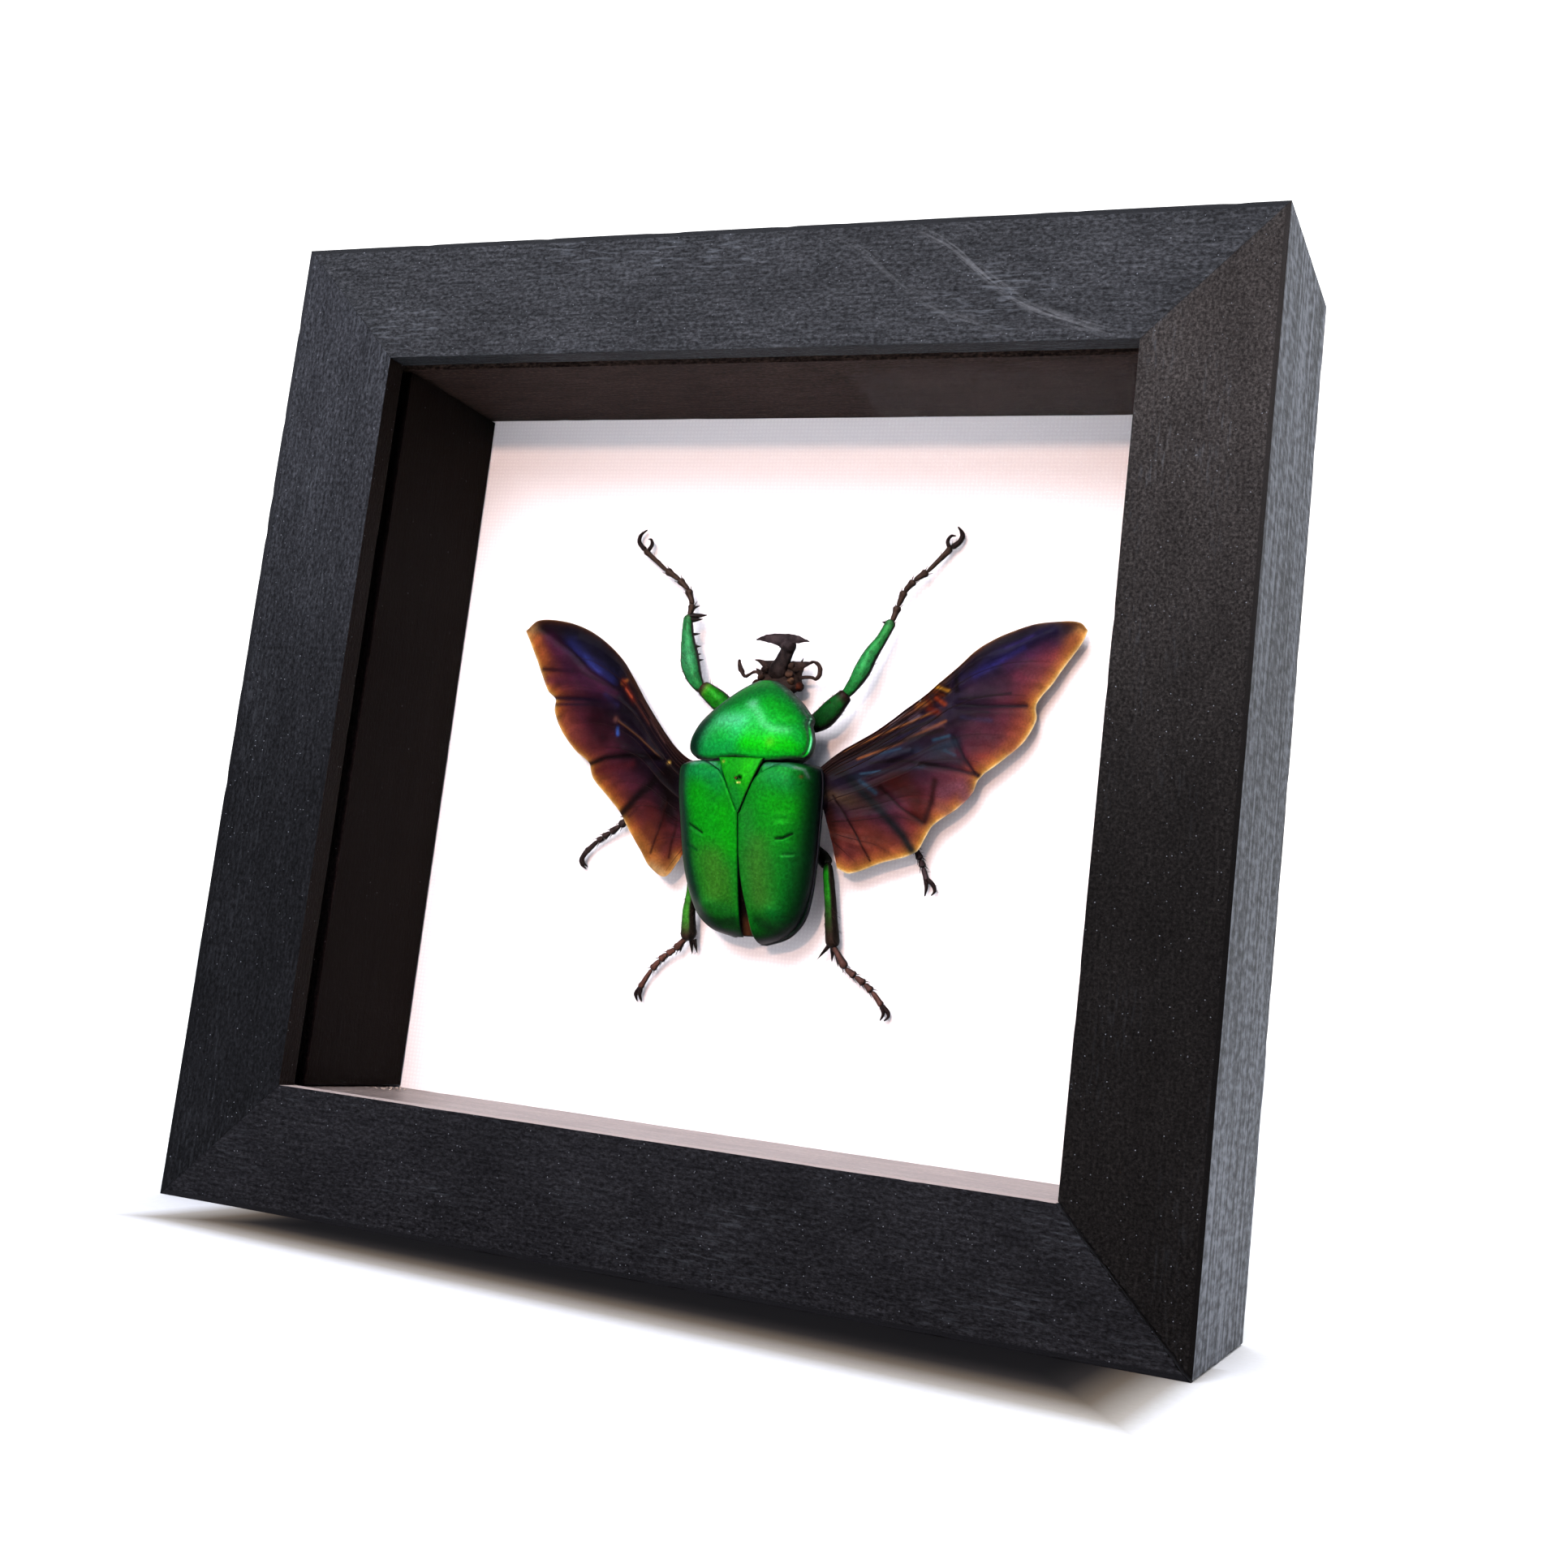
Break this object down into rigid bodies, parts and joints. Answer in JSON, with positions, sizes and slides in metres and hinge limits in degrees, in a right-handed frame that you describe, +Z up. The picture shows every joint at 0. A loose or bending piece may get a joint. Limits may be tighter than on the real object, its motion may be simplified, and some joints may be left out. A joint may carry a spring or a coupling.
{
  "type": "framed scarab beetle specimen",
  "caption": "Box frame in black stained wood with a glass front and white backing paper, holding a pinned green horned beetle with its wings and legs spread.",
  "frame": {"origin": "middle of the frame's footprint, on the surface that it stands on", "axes": "+Z up, +X to the right as seen from the front, +Y from the glass towards the back, so the glass faces -Y"},
  "size_m": [0.152, 0.036, 0.146],
  "materials": {
    "stained_wood": "black stained, matt, with fine grain",
    "lacquered_wood": "black stained, satin",
    "clear_glass": "clear float glass, polished",
    "white_paper": "white, faint linen weave",
    "brown_hardboard": "pressed hardboard, matt",
    "plated_steel": "zinc plated",
    "green_cuticle": "satin metallic green, like a lacquer",
    "leg_cuticle": "satin green with dark brown feet",
    "dark_cuticle": "dark brown, satin",
    "wing_membrane": "thin, smoky brown and purple, part clear",
    "pin_brass": "bright wire"
  },
  "bodies": {
    "root": {"back_panel": "brown_hardboard", "backing_board": "white_paper", "elytron_left": "green_cuticle", "elytron_right": "green_cuticle", "foreleg_left": "leg_cuticle", "foreleg_right": "leg_cuticle", "frame_rail_bottom": "stained_wood", "frame_rail_left": "stained_wood", "frame_rail_right": "stained_wood", "frame_rail_top": "stained_wood", "glass_pane": "clear_glass", "hanger_nail_left": "plated_steel", "hanger_nail_right": "plated_steel", "head_with_horn": "dark_cuticle", "hindleg_left": "leg_cuticle", "hindleg_right": "leg_cuticle", "hindwing_left": "wing_membrane", "hindwing_right": "wing_membrane", "insect_pin": "pin_brass", "midleg_left": "leg_cuticle", "midleg_right": "leg_cuticle", "pronotum": "green_cuticle", "retaining_point_left_high": "plated_steel", "retaining_point_left_low": "plated_steel", "retaining_point_right_high": "plated_steel", "retaining_point_right_low": "plated_steel", "sawtooth_hanger": "plated_steel", "scutellum": "green_cuticle", "spacer_bottom": "lacquered_wood", "spacer_left": "lacquered_wood", "spacer_right": "lacquered_wood", "spacer_top": "lacquered_wood", "underbody": "dark_cuticle"}
  },
  "joints": []
}
